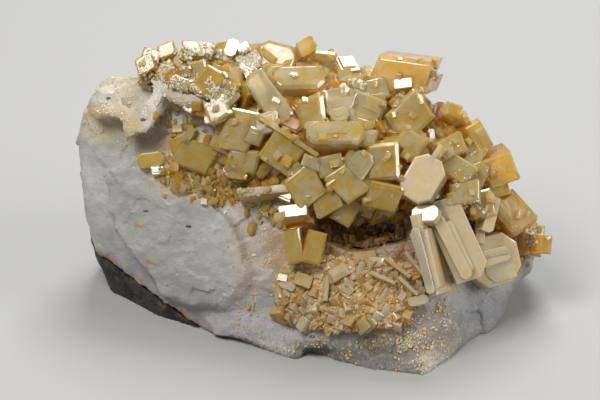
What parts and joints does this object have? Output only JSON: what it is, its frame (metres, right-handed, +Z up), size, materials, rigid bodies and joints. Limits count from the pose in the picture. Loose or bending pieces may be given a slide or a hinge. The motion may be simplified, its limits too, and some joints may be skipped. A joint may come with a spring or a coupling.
{
  "type": "mineral specimen",
  "caption": "Cabinet specimen of honey-yellow barite crystals on milky vein quartz, with pale bladed crystals, an open vug and a wedge of dark wall rock",
  "frame": {"origin": "centre of the bounding box's bottom, on the surface that the specimen stands on", "axes": "+X to the right along the specimen's length, +Y to its back, +Z up"},
  "size_m": [0.1174, 0.0784, 0.0659],
  "materials": {
    "milky_quartz": "broken vein quartz, milky and slightly translucent, with a waxy lustre",
    "dark_rock": "dull charcoal wall rock with rusty spots",
    "honey_barite": "honey-yellow translucent barite, glassy faces",
    "pale_barite": "cream to beige translucent barite, pearly faces",
    "tan_druse": "sugary tan to orange druse",
    "brown_crust": "red-brown drusy crust, iron stained"
  },
  "bodies": {
    "root": {"quartz_matrix": "milky_quartz", "wall_rock": "dark_rock", "barite_cluster": "honey_barite", "pale_blades": "pale_barite", "golden_columns": "honey_barite", "striated_plate": "honey_barite", "yellow_lens": "honey_barite", "lower_druse": "tan_druse", "vug_crust": "brown_crust"}
  },
  "joints": []
}
